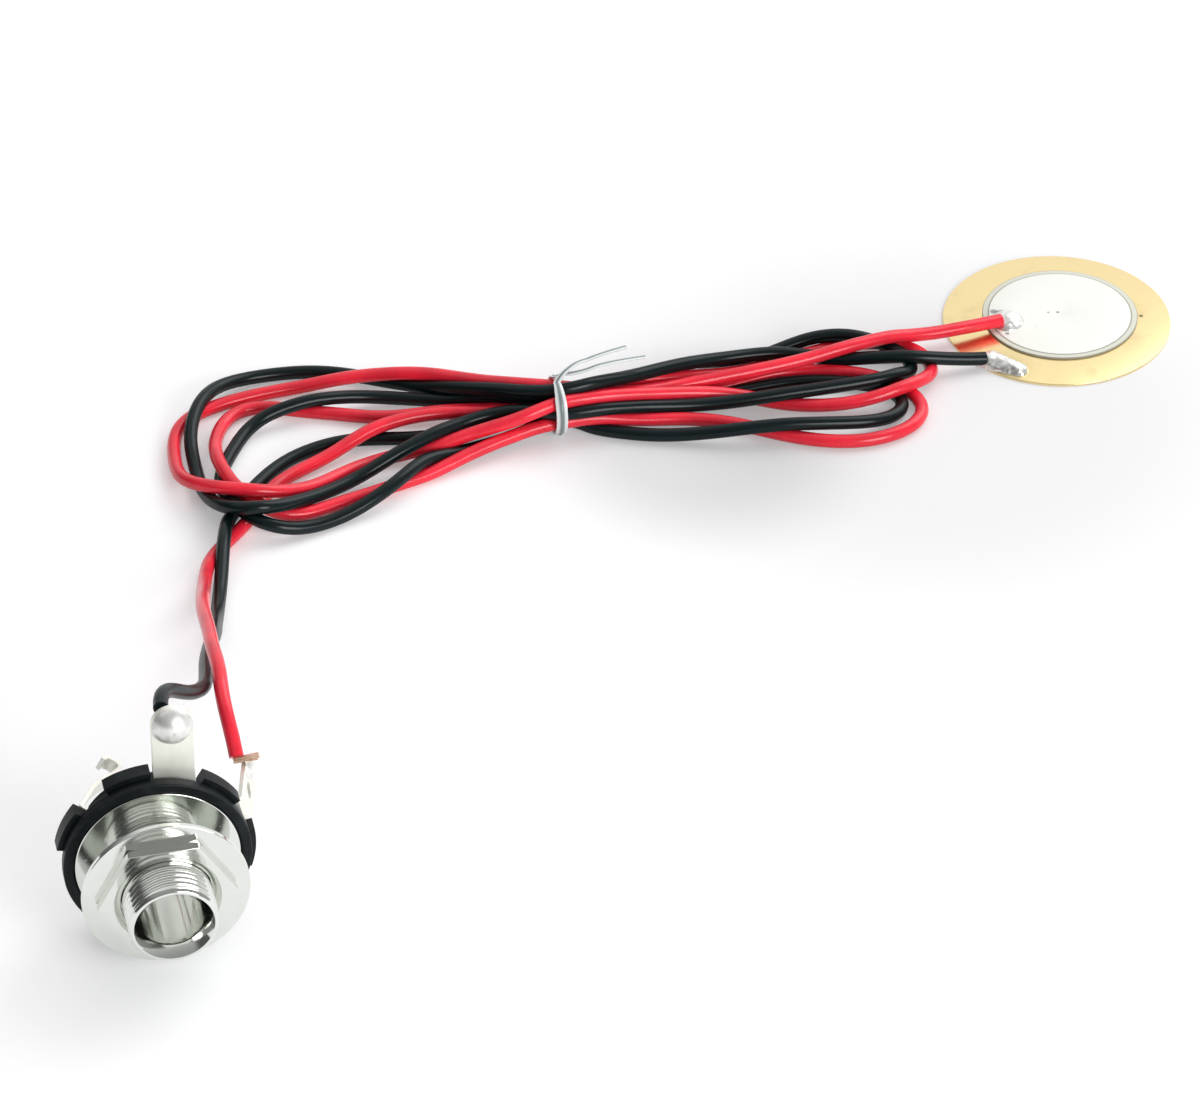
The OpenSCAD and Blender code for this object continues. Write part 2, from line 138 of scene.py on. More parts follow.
# Routes of the wires in millimetres: the free stretches are the solids' own, and between them each wire
# runs through the tie five times, round the loops on its left and right
RED_ROUTE = {
    "jack to hank": [
        (-111.5, -81.5, 15.3), (-111.5, -80, 16.8), (-112, -78, 18.5), (-112, -75.5, 19.5),
        (-111.5, -71.5, 19.5), (-111.5, -67, 18.5), (-111, -61, 16.5), (-110.5, -53, 13.5),
        (-109.5, -46, 10), (-108.5, -39, 5.4),
        (-107, -31, 2), (-106, -27.5, 1.2), (-104, -24, 0.9), (-101, -21, 0.9),
    ],
    "first pass": [
        (-96.5, -14, 0.8), (-93, -12, 0.8), (-89, -10, 0.8), (-85.5, -8, 1.4), (-80.5, -6.5, 2.2),
        (-75.5, -6, 2.4), (-70.5, -7, 2.4), (-62.5, -8, 2.5),
    ],
    "near right loop": [
        (-54, -8, 2), (-47, -7.5, 1.4), (-39.5, -6, 0.8), (-35.5, -4.5, 0.8), (-32.5, -4.5, 0.8),
        (-26.5, -5.5, 0.8), (-22.5, -8, 0.8), (-20, -11, 0.8), (-19.5, -15, 0.8), (-22, -18, 0.8),
        (-26, -19.5, 0.8), (-30, -19.5, 0.8), (-34.5, -18, 0.8), (-38, -16, 0.8), (-41.5, -13.5, 0.8),
        (-46, -11.5, 1.2), (-53, -11, 1.8), (-62.5, -11, 2.2),
    ],
    "inner left loop": [
        (-67.5, -12, 2.2), (-72, -13, 2), (-77, -14.5, 1.4), (-80, -15.5, 0.8), (-86, -17.5, 0.8),
        (-89, -18.5, 1.2), (-93.5, -20, 1.4), (-96, -21, 1.8), (-98.5, -20, 2.4), (-101, -17, 2.8),
        (-102, -12, 2.4), (-102, -7, 1.6), (-100.5, -2, 0.8), (-98.5, 1, 0.8), (-95.5, 1.5, 0.8),
        (-91, -0.5, 0.8), (-86.5, -2, 0.8), (-80.5, -4.5, 2), (-75.5, -4.5, 2.8), (-70.5, -5.5, 3.2),
        (-62.5, -7.5, 4),
    ],
    "far right loop": [
        (-54, -6, 3), (-46.5, -4.5, 2), (-39, -3.5, 1), (-32.5, -2, 0.8), (-27.5, -1, 0.8),
        (-21.5, -1, 0.8), (-18, -3, 0.8), (-16.5, -6, 1.2), (-17.5, -9.5, 1.6), (-20.5, -12, 1.8),
        (-24, -13, 1.6), (-28.5, -13, 1.2), (-33, -11.5, 0.8), (-36.5, -10, 0.8), (-40, -8, 1),
        (-45, -7.5, 2), (-52.5, -8.5, 3.4), (-62.5, -11, 5),
    ],
    "outer left loop": [
        (-67.5, -12.5, 4.4), (-72, -12, 3.6), (-77, -13, 3), (-81, -12, 2), (-85.5, -13, 2),
        (-88.5, -14.5, 2.2), (-93, -18, 3), (-97, -19.5, 3.8), (-101, -19.5, 4.4), (-105, -16.5, 3.6),
        (-107, -13, 2.4), (-107, -8.5, 1.4), (-106.5, -4, 0.8), (-105.5, -0.5, 0.8), (-103, 1.5, 0.8),
        (-96.5, 3.5, 1), (-90.5, 4, 1.2), (-84.5, 3.5, 2.2), (-79, 1.5, 3), (-74.5, -1, 3.6),
        (-70.5, -4.5, 4.4), (-62.5, -8.5, 5.5),
    ],
    "hank to disc": [
        (-57.5, -9.5, 4.8), (-52.5, -9, 4.4), (-47.5, -7.5, 4), (-43, -7, 4.2), (-38, -6.5, 4.2),
        (-33, -6, 4), (-27.5, -5, 3.6), (-22, -3.5, 3), (-18.5, -2.5, 2), (-14.5, -2, 2),
        (-11, -1.5, 1.8), (-7, -0.5, 1.5),
    ],
}
BLACK_ROUTE = {
    "jack to hank": [
        (-120, -88, 28), (-120, -86, 28), (-119, -83.5, 27), (-117.5, -81.5, 25), (-116, -79, 22.5),
        (-114, -75.5, 20), (-113, -71.5, 18), (-112, -64.5, 15), (-110.5, -57, 11.5), (-109, -50.5, 8),
        (-108, -44, 4.2), (-107, -38.5, 1.6), (-106, -34, 1), (-105, -30, 1.8), (-104.5, -27, 2.6),
        (-103.5, -24.5, 2.8), (-103, -21.5, 2.6), (-102, -19, 2.6),
    ],
    "first pass": [
        (-98.5, -14, 1.2), (-96.5, -12, 0.8), (-94, -10, 0.8), (-90, -8.5, 0.8), (-86.5, -8, 0.8),
        (-81, -9, 0.8), (-75.5, -9.5, 1.2), (-70, -9.5, 2), (-62.5, -10, 3.4),
    ],
    "near right loop": [
        (-54, -9.5, 2.2), (-47, -9, 1.2), (-39, -7.5, 0.8), (-33, -7, 0.8), (-27, -8.5, 0.8),
        (-23.5, -10, 0.8), (-21.5, -13, 0.8), (-23, -16, 1), (-26.5, -17.5, 1.6), (-32, -17.5, 2.2),
        (-37.5, -17, 2.4), (-41, -16.5, 2.4), (-47, -15, 1.6), (-53.5, -13, 1.2), (-62.5, -9.5, 1.8),
    ],
    "inner left loop": [
        (-66.5, -10.5, 1), (-71, -11.5, 0.8), (-76.5, -13, 1.4), (-79.5, -15.5, 2.4), (-82.5, -18.5, 2.6),
        (-85.5, -20.5, 2.2), (-89, -22, 1.4), (-93, -23.5, 1.4), (-96.5, -24.5, 2), (-99.5, -24.5, 3.2),
        (-101.5, -22.5, 3.4), (-102.5, -18, 2), (-102.5, -11, 0.8), (-100.5, -7.5, 0.8), (-99, -4.5, 0.8),
        (-96.5, -2, 1.4), (-93.5, -1.5, 2.2), (-90, -1, 2.4), (-85, 0, 2.2), (-79.5, -0.5, 2),
        (-74, -2.5, 2.6), (-69, -5.5, 3.4), (-62.5, -9, 4.1),
    ],
    "far right loop": [
        (-54, -7, 2.8), (-46.5, -5, 1.6), (-39.5, -3, 0.8), (-33, -1, 1.4), (-30, -0.5, 2.2),
        (-26.5, -1, 2.4), (-22.5, -2.5, 2.4), (-19.5, -5, 2), (-19.5, -8.5, 1.6), (-22.5, -10.5, 2),
        (-27, -11, 2.4), (-36.5, -11, 2.6), (-40, -11, 2.6), (-46, -10.5, 2.4), (-53, -10.5, 2.8),
        (-62.5, -11.5, 3.5),
    ],
    "outer left loop": [
        (-67, -9.5, 3.6), (-71.5, -9.5, 3.2), (-76.5, -12, 3.8), (-82, -14.5, 3.6), (-86, -16, 2.4),
        (-89.5, -18, 2.4), (-93.5, -20.5, 2.8), (-97, -23, 4), (-100.5, -23.5, 4.4), (-103, -20.5, 3.2),
        (-104.5, -14, 1.4), (-104.5, -10, 0.8), (-104.5, -4, 1.6), (-103, 0, 2.4), (-101, 3.5, 2),
        (-98.5, 6, 1.2), (-94.5, 7, 0.8), (-91, 7, 0.8), (-87.5, 6.5, 0.8), (-83, 4.5, 0.8),
        (-79, 2, 1.2), (-74, -2.5, 2.6), (-70, -5.5, 4), (-62.5, -10, 5.8),
    ],
    "hank to disc": [
        (-57, -8.5, 5.2), (-52, -6.5, 4.8), (-47, -4.5, 4.4), (-42, -3, 3.4), (-34.5, -2.5, 2.6),
        (-29, -4.5, 2.4), (-24, -6, 2.8), (-19, -7.5, 2.6), (-16.5, -7.5, 2.2), (-13.5, -7.5, 1.5),
        (-10.7, -7.4, 1.2),
    ],
}


# Sizes and colours that a user would change

class WireSettings(bpy.types.PropertyGroup):
    """Sizes and colours of the wires and their tie."""

    diameter: FloatProperty(
        name="Diameter", description="Outer diameter of each wire", default=1.6 * MM, unit="LENGTH"
    )
    strand_count: IntProperty(
        name="Strands", description="Bare copper strands at the solder tag", default=12, min=3
    )
    strand_diameter: FloatProperty(
        name="Strand diameter", description="Diameter of one strand", default=0.2 * MM, unit="LENGTH"
    )
    tie_width: FloatProperty(
        name="Tie width", description="Width of the tie's ribbon", default=1.3 * MM, unit="LENGTH"
    )
    red: FloatVectorProperty(
        name="Red", description="Insulation of the red wire", subtype="COLOR", default=(0.90, 0.024, 0.05)
    )
    black: FloatVectorProperty(
        name="Black", description="Insulation of the black wire", subtype="COLOR",
        default=(0.003, 0.009, 0.010),
    )
    red_shine: FloatProperty(
        name="Red shine", description="Strength of the red insulation's reflections", default=0.75,
        subtype="FACTOR", min=0, max=1,
    )
    black_shine: FloatProperty(
        name="Black shine", description="Strength of the black insulation's reflections", default=0.42,
        subtype="FACTOR", min=0, max=1,
    )
    tie: FloatVectorProperty(
        name="Tie", description="Plastic of the tie", subtype="COLOR", default=(0.76, 0.80, 0.80)
    )
    tie_core: FloatVectorProperty(
        name="Tie core", description="Wire core of the tie", subtype="COLOR", default=(0.20, 0.24, 0.24)
    )
    copper: FloatVectorProperty(
        name="Copper", description="Bare strands", subtype="COLOR", default=(0.95, 0.70, 0.54)
    )


class DiscSettings(bpy.types.PropertyGroup):
    """Colours of the sensor disc."""

    brass: FloatVectorProperty(
        name="Brass", description="Rolled brass plate", subtype="COLOR", default=(0.87, 0.70, 0.37)
    )
    ceramic: FloatVectorProperty(
        name="Ceramic", description="Fired edge of the ceramic", subtype="COLOR", default=(0.74, 0.74, 0.64)
    )
    electrode: FloatVectorProperty(
        name="Electrode", description="Fired silver layer", subtype="COLOR", default=(0.94, 0.945, 0.89)
    )
    solder: FloatVectorProperty(
        name="Solder", description="Solder joints", subtype="COLOR", default=(0.86, 0.86, 0.83)
    )


class JackSettings(bpy.types.PropertyGroup):
    """Sizes and colours of the panel jack."""

    thread_pitch: FloatProperty(
        name="Thread pitch", description="Pitch of the bushing's thread", default=0.79 * MM, unit="LENGTH"
    )
    thread_depth: FloatProperty(
        name="Thread depth", description="Depth of the bushing's thread", default=0.2 * MM, unit="LENGTH"
    )
    lead_in: FloatProperty(
        name="Lead-in", description="How far the bore flares at its front", default=0.9 * MM, unit="LENGTH"
    )
    nickel: FloatVectorProperty(
        name="Nickel", description="Plated bushing, nut and washer", subtype="COLOR",
        default=(0.74, 0.76, 0.72),
    )
    tinned: FloatVectorProperty(
        name="Tinned", description="Tinned terminals", subtype="COLOR", default=(0.94, 0.94, 0.86)
    )
    plastic: FloatVectorProperty(
        name="Plastic", description="Moulded insulators", subtype="COLOR", default=(0.006, 0.009, 0.010)
    )


class StageSettings(bpy.types.PropertyGroup):
    """Floor and light."""

    floor: FloatVectorProperty(
        name="Floor", description="Colour of the floor", subtype="COLOR", default=(0.82, 0.82, 0.83)
    )
    glow: FloatProperty(
        name="Glow", description="Part of the floor's colour added in the picture", default=0.34
    )
    sky: FloatProperty(name="Sky", description="Strength of the sky's bright side", default=1.0)
    key: FloatProperty(name="Key", description="Power of the key light in watts", default=2.7)
    fill: FloatProperty(name="Fill", description="Power of the front light in watts", default=5.0)


# Shader expressions

class Term:
    """A node's socket in a Python expression. Each operation on it adds a Math node."""

    def __init__(self, finish, socket):
        self.finish = finish
        self.socket = socket

    def _math(self, operation, first, second):
        step = self.finish.node("ShaderNodeMath", {"operation": operation}, {0: first, 1: second})
        return step["Value"]

    def __add__(self, other):
        return self._math("ADD", self, other)

    def __rsub__(self, other):
        return self._math("SUBTRACT", other, self)

    def __mul__(self, other):
        return self._math("MULTIPLY", self, other)

    __radd__ = __add__
    __rmul__ = __mul__

    def ramp(self, low, high):
        """0 below low, 1 above high, smooth between."""
        step = self.finish.node(
            "ShaderNodeMapRange",
            {"interpolation_type": "SMOOTHSTEP"},
            {"Value": self, "From Min": low, "From Max": high},
        )
        return step["Result"]


class Step:
    """A node whose outputs are read as terms by name."""

    def __init__(self, finish, node):
        self.finish = finish
        self.node = node

    def __getitem__(self, name):
        return Term(self.finish, self.node.outputs[name])


class Shading:
    """A node tree under construction."""

    def __init__(self, tree):
        self.tree = tree
        tree.nodes.clear()

    def node(self, kind, settings=None, inputs=None):
        node = self.tree.nodes.new(kind)
        for name, value in (settings or {}).items():
            setattr(node, name, value)
        for name, value in (inputs or {}).items():
            if isinstance(value, Term):
                self.tree.links.new(value.socket, node.inputs[name])
            else:
                node.inputs[name].default_value = value
        return Step(self, node)


class Finish(Shading):
    """A material under construction, with one Principled shader."""

    def __init__(self, name):
        self.material = bpy.data.materials.new(name)
        self.material.use_nodes = True
        super().__init__(self.material.node_tree)
        self.shader = self.node("ShaderNodeBsdfPrincipled")
        self.node("ShaderNodeOutputMaterial", {}, {"Surface": self.shader["BSDF"]})
        self.object_coordinates = self.node("ShaderNodeTexCoord")["Object"]

    def set(self, **inputs):
        for name, value in inputs.items():
            socket = self.shader.node.inputs[name.replace("_", " ").title().replace("Ior", "IOR")]
            if isinstance(value, Term):
                self.tree.links.new(value.socket, socket)
            else:
                socket.default_value = value
        return self.material

    def stretched(self, scale):
        """Object coordinates drawn out along the axes with small numbers."""
        inputs = {"Vector": self.object_coordinates, "Scale": scale}
        return self.node("ShaderNodeMapping", {}, inputs)["Vector"]

    def noise(self, scale, detail, vector=None):
        inputs = {
            "Vector": vector or self.object_coordinates, "Scale": scale, "Detail": detail, "Roughness": 0.55
        }
        return self.node("ShaderNodeTexNoise", {}, inputs)["Fac"]

    def blend(self, factor, low, high):
        """A colour between two."""
        step = self.node("ShaderNodeMix", {"data_type": "RGBA"}, {0: factor, 6: low, 7: high})
        return Term(self, step.node.outputs[2])

    def away(self, place):
        """Distance from a place on the object."""
        step = self.node(
            "ShaderNodeVectorMath", {"operation": "DISTANCE"}, {0: self.object_coordinates, 1: place}
        )
        return step["Value"]

    def spot(self, place, radius):
        """1 at a place on the object, falling to 0 at the radius."""
        return 1 - self.away(place).ramp(0.3 * radius, radius)

    def bump(self, height, distance, strength=1.0):
        step = self.node(
            "ShaderNodeBump", {}, {"Height": height, "Distance": distance, "Strength": strength}
        )
        return step["Normal"]


def shade(colour, factor):
    """A colour, lighter or darker, with alpha."""
    return tuple(min(1.0, c * factor) for c in colour) + (1.0,)


def insulation_finish(name, colour, shine):
    """Smooth soft insulation with a slight skin and a dull film in places."""
    f = Finish(name)
    skin = f.noise(1900, detail=2)
    film = f.noise(260, detail=4)
    colours = f.blend(film.ramp(0.3, 0.75), shade(colour, 0.86), shade(colour, 1.12))
    return f.set(
        base_color=colours, roughness=0.5, specular_ior_level=0.03,
        coat_weight=shine * (0.85 + 0.3 * skin), coat_roughness=0.2,
        normal=f.bump(skin, 0.012 * MM, 0.6),
    )


def brass_finish(colour, joint, speck):
    """Rolled brass sheet: fine lines one way, faint tarnish, and a duller patch round the solder joint."""
    f = Finish("rolled_brass")
    lines = f.noise(1500, detail=3, vector=f.stretched((0.08, 1.0, 1.0)))
    tarnish = f.noise(170, detail=5)
    heat = f.spot(joint, 5 * MM)
    patina = (0.75 * tarnish.ramp(0.42, 0.8) + 0.5 * heat).ramp(0.0, 1.0)
    clean = f.blend(patina, shade(colour, 1.06), shade(colour, 0.74))
    colours = f.blend(f.spot(speck, 0.35 * MM), clean, shade(colour, 0.2))
    return f.set(
        base_color=colours, metallic=1.0, roughness=0.14 + 0.14 * tarnish + 0.06 * lines,
        normal=f.bump(lines, 0.003 * MM, 0.6),
    )


def ceramic_finish(colour, silver_r, rim_r):
    """Fired ceramic with a fine grain, darker along the edge of the silver, and with painted shade down the
    ceramic's own side.
    """
    f = Finish("fired_ceramic")
    grain = f.noise(5200, detail=2)
    reach = f.away(tuple(node_middle("ceramic_disc")))
    seam = 1 - reach.ramp(silver_r + 0.05 * MM, silver_r + 0.3 * MM)
    # Painted shade down the ceramic's outer edge and side, for the shadow at its foot
    rim_painted_shade = reach.ramp(rim_r - 0.14 * MM, rim_r - 0.02 * MM)
    clean = f.blend(grain, shade(colour, 0.94), shade(colour, 1.06))
    colours = f.blend((0.8 * seam + 0.9 * rim_painted_shade).ramp(0.0, 1.0), clean, shade(colour, 0.42))
    return f.set(base_color=colours, roughness=0.55 + 0.2 * grain, normal=f.bump(grain, 0.004 * MM))


def electrode_finish(colour, marks):
    """Fired silver layer, matt and off-white, with print mesh grain, faint scuffs and dark marks, some of
    which are painted shadow.
    """
    f = Finish("fired_silver")
    grain = f.noise(6000, detail=2)
    cloud = f.noise(240, detail=4)
    scuff = f.noise(900, detail=2, vector=f.stretched((1.0, 0.12, 1.0))).ramp(0.66, 0.78)
    # Scuffs and small marks, together with the painted shadow round the joint
    marks_and_painted_shadow = sum((f.spot(place, radius) for place, radius in marks), 0.22 * scuff)
    clean = f.blend(cloud, shade(colour, 0.97), shade(colour, 1.03))
    colours = f.blend((0.75 * marks_and_painted_shadow).ramp(0.0, 1.0), clean, (0.22, 0.25, 0.24, 1.0))
    return f.set(
        base_color=colours, roughness=0.5 + 0.2 * cloud, metallic=0.12 * cloud,
        normal=f.bump(grain, 0.004 * MM, 0.7),
    )


def solder_finish(name, colour, metal):
    """Solder that set bright, with duller skin and small dents."""
    f = Finish(name)
    skin = f.noise(900, detail=4)
    dents = f.noise(2200, detail=3)
    colours = f.blend(skin.ramp(0.35, 0.75), shade(colour, 1.0), shade(colour, 0.8))
    return f.set(
        base_color=colours, metallic=metal, roughness=0.24 + 0.26 * skin,
        normal=f.bump(dents, 0.02 * MM, 0.4),
    )


def nickel_finish(colour):
    """Polished nickel plate with turning marks and hairline scratches."""
    f = Finish("nickel_plate")
    haze = f.noise(420, detail=4)
    hair = f.noise(2600, detail=2, vector=f.stretched((1.0, 0.1, 0.7))).ramp(0.58, 0.75)
    colours = f.blend(haze, shade(colour, 0.94), shade(colour, 1.05))
    return f.set(
        base_color=colours, metallic=1.0, roughness=0.07 + 0.07 * haze + 0.1 * hair,
        normal=f.bump(hair, 0.001 * MM, 0.5),
    )


def tinned_finish(colour):
    """Tinned sheet with flow marks of the dip."""
    f = Finish("tinned_sheet")
    flow = f.noise(650, detail=4, vector=f.stretched((1.0, 1.0, 0.4)))
    grain = f.noise(3600, detail=2)
    colours = f.blend(flow, shade(colour, 0.84), shade(colour, 1.08))
    return f.set(
        base_color=colours, metallic=0.9, roughness=0.38 + 0.2 * flow,
        normal=f.bump(flow + 0.3 * grain, 0.012 * MM, 0.5),
    )


def moulded_finish(colour):
    """Moulded black plastic: fine spark grain and worn, paler patches."""
    f = Finish("moulded_plastic")
    grain = f.noise(5200, detail=3)
    wear = f.noise(520, detail=4)
    colours = f.blend(wear.ramp(0.45, 0.8), shade(colour, 0.9), shade(colour, 1.9))
    return f.set(
        base_color=colours, roughness=0.5, specular_ior_level=0.03,
        coat_weight=0.25 + 0.15 * wear, coat_roughness=0.3,
        normal=f.bump(grain, 0.01 * MM, 0.6),
    )


def copper_finish(colour):
    """Bare copper with tin and a dull film in places."""
    f = Finish("bare_copper")
    film = f.noise(1800, detail=3)
    colours = f.blend(film.ramp(0.35, 0.8), shade(colour, 1.1), shade(colour, 0.66))
    return f.set(base_color=colours, metallic=0.6, roughness=0.25 + 0.25 * film)


def tie_finish(colour, core_colour):
    """Pale glossy plastic of the tie, a little cloudy, with the grey wire core showing along its middle."""
    f = Finish("tie_plastic")
    cloud = f.noise(700, detail=3)
    core = 1 - f.node("ShaderNodeAttribute", {"attribute_name": "across"})["Fac"].ramp(0.2, 0.6)
    plastic = f.blend(cloud, shade(colour, 0.92), shade(colour, 1.08))
    colours = f.blend(core, plastic, tuple(core_colour) + (1.0,))
    return f.set(
        base_color=colours, roughness=0.2 + 0.12 * cloud,
        normal=f.bump(cloud, 0.02 * MM, 0.4),
    )


# Meshes

def new_piece(name, mesh, material, node):
    """A finished piece in place of a CAD node."""
    mesh.materials.clear()
    mesh.materials.append(material)
    piece = bpy.data.objects.new(name, mesh)
    bpy.context.scene.collection.objects.link(piece)
    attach(piece, BODY)
    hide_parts(node)


def mesh_from(name, points, faces, place=None, sharp=35.0):
    """A closed mesh with outward faces, smooth except at its sharp edges."""
    if not np.isfinite(points).all():
        raise ValueError(name + " has points that aren't numbers")
    mesh = bpy.data.meshes.new(name)
    mesh.from_pydata([tuple(p) for p in points], [], faces)
    if place is not None:
        mesh.transform(place)
    return tidy(mesh, sharp)


def tidy(mesh, sharp):
    """The mesh merged, with outward faces, smooth except at its sharp edges."""
    shell = bmesh.new()
    shell.from_mesh(mesh)
    bmesh.ops.remove_doubles(shell, verts=shell.verts, dist=0.0005 * MM)
    bmesh.ops.recalc_face_normals(shell, faces=shell.faces)
    shell.to_mesh(mesh)
    shell.free()
    mesh.shade_smooth()
    mesh.set_sharp_from_angle(angle=math.radians(sharp))
    return mesh


def grid_faces(rows, columns, closed_rows=False):
    """Quads over a grid of points stored row by row, with each row closed on itself."""
    last_row = rows if closed_rows else rows - 1
    return [
        (
            i * columns + k,
            i * columns + (k + 1) % columns,
            (i + 1) % rows * columns + (k + 1) % columns,
            (i + 1) % rows * columns + k,
        )
        for i in range(last_row)
        for k in range(columns)
    ]


def rounded(corners, radius, steps=4):
    """A closed outline with each corner rounded."""
    corners = [Vector(c) for c in corners]
    outline = []
    for i, corner in enumerate(corners):
        before = corners[i - 1] - corner
        after = corners[(i + 1) % len(corners)] - corner
        reach = min(radius, 0.45 * before.length, 0.45 * after.length)
        start = corner + reach * before.normalized()
        end = corner + reach * after.normalized()
        for k in range(steps + 1):
            t = k / steps
            outline.append(start * (1 - t) ** 2 + corner * 2 * t * (1 - t) + end * t * t)
    return outline


def lathe(name, profile, segments, place, sharp=35.0, radius_at=None):
    """A closed profile of (radius, height) turned round Z. radius_at may change a radius by its angle."""
    points = []
    for r, z in profile:
        for k in range(segments):
            a = 2 * math.pi * k / segments
            radius = radius_at(r, z, a) if radius_at else r
            points.append((radius * math.cos(a), radius * math.sin(a), z))
    return mesh_from(name, points, grid_faces(len(profile), segments, closed_rows=True), place, sharp)


def softened(node, edge, steps=3):
    """A copy of a CAD node's mesh, merged, with its edges rounded."""
    sharp, flat = math.radians(32.0), math.radians(0.5)
    source = frame["nodes"][node]
    mesh = source.data.copy()
    mesh.transform(source.matrix_world)
    shell = bmesh.new()
    shell.from_mesh(mesh)
    bmesh.ops.remove_doubles(shell, verts=shell.verts, dist=0.002 * MM)
    bmesh.ops.dissolve_limit(shell, angle_limit=flat, verts=shell.verts, edges=shell.edges)
    shell.to_mesh(mesh)
    shell.free()
    work = bpy.data.objects.new(node + "_work", mesh)
    bpy.context.scene.collection.objects.link(work)
    bevel = work.modifiers.new("edges", "BEVEL")
    bevel.width = edge
    bevel.segments = steps
    bevel.limit_method = "ANGLE"
    bevel.angle_limit = sharp
    bevel.use_clamp_overlap = True
    even = work.modifiers.new("normals", "WEIGHTED_NORMAL")
    even.keep_sharp = True
    mesh.shade_smooth()
    mesh.set_sharp_from_angle(angle=sharp)
    return plain_mesh(work, node + "_soft")


def plain_mesh(work, name):
    """The evaluated object as a plain mesh. The work object is removed."""
    graph = bpy.context.evaluated_depsgraph_get()
    mesh = bpy.data.meshes.new_from_object(
        work.evaluated_get(graph), preserve_all_data_layers=True, depsgraph=graph
    )
    mesh.name = name
    bpy.data.objects.remove(work, do_unlink=True)
    return mesh


def lumpy(node, lump, swell):
    """A copy of a CAD node's mesh with an even, lumpy skin, swollen about its middle."""
    source = frame["nodes"][node]
    middle = Vector(node_middle(node))
    mesh = source.data.copy()
    swollen = Matrix.Translation(middle) @ Matrix.Scale(swell, 4) @ Matrix.Translation(-middle)
    mesh.transform(swollen @ source.matrix_world)
    work = bpy.data.objects.new(node + "_work", mesh)
    bpy.context.scene.collection.objects.link(work)
    even = work.modifiers.new("even", "REMESH")
    even.mode = "VOXEL"
    even.voxel_size = 0.1 * MM
    clouds = bpy.data.textures.new(node + "_lumps", "CLOUDS")
    clouds.noise_scale = 5 * lump
    lumps = work.modifiers.new("lumps", "DISPLACE")
    lumps.texture = clouds
    lumps.texture_coords = "LOCAL"
    lumps.strength = 2 * lump
    lumps.mid_level = 0.5
    soft = work.modifiers.new("soft", "SMOOTH")
    soft.iterations = 6
    return tidy(plain_mesh(work, node + "_lumpy"), 60.0)


def sweep(name, centres, outs, scales, section, sharp=60.0):
    """A section of (across, out) carried along a line of centres, scaled on its way, with capped ends."""
    centres = np.asarray(centres)
    along = np.gradient(centres, axis=0)
    along /= np.linalg.norm(along, axis=1)[:, None]
    out = outs - (outs * along).sum(1)[:, None] * along
    out /= np.linalg.norm(out, axis=1)[:, None]
    across = np.cross(along, out)
    points = [
        centres[i] + scales[i] * (u * across[i] + v * out[i])
        for i in range(len(centres))
        for u, v in section
    ]
    count = len(section)
    faces = grid_faces(len(centres), count)
    faces.append(tuple(reversed(range(count))))
    faces.append(tuple((len(centres) - 1) * count + k for k in range(count)))
    mesh = mesh_from(name, points, faces, sharp=sharp)
    widest = max(abs(u) for u, _ in section)
    share = [abs(u) / widest for _ in centres for u, _ in section]
    mesh.attributes.new("across", "FLOAT", "POINT").data.foreach_set("value", share)
    return mesh


# Wires

def smooth_line(points, per_span=12):
    """A line that passes smoothly through the points (centripetal Catmull-Rom)."""
    knots = np.asarray(points, float)
    knots = np.vstack([2 * knots[0] - knots[1], knots, 2 * knots[-1] - knots[-2]])
    line = []
    for i in range(1, len(knots) - 2):
        p = knots[i - 1:i + 3]
        t = np.r_[0, np.cumsum(np.linalg.norm(np.diff(p, axis=0), axis=1) ** 0.5)]
        s = np.linspace(t[1], t[2], per_span, endpoint=False)[:, None]
        near = [((t[k + 1] - s) * p[k] + (s - t[k]) * p[k + 1]) / (t[k + 1] - t[k]) for k in range(3)]
        pair = [((t[k + 2] - s) * near[k] + (s - t[k]) * near[k + 1]) / (t[k + 2] - t[k]) for k in range(2)]
        line.append(((t[2] - s) * pair[0] + (s - t[1]) * pair[1]) / (t[2] - t[1]))
    line.append(knots[-2][None])
    return np.vstack(line)


def even_steps(line, step):
    """The line again, with its points at even steps."""
    run = np.r_[0, np.cumsum(np.linalg.norm(np.diff(line, axis=0), axis=1))]
    marks = np.linspace(0, run[-1], int(round(run[-1] / step)) + 1)
    return np.stack([np.interp(marks, run, line[:, k]) for k in range(3)], axis=1)


def ease(line, times):
    """The line with its unevenness smoothed away. Its ends stay."""
    for _ in range(times):
        line[1:-1] = 0.5 * line[1:-1] + 0.25 * (line[:-2] + line[2:])
    return line


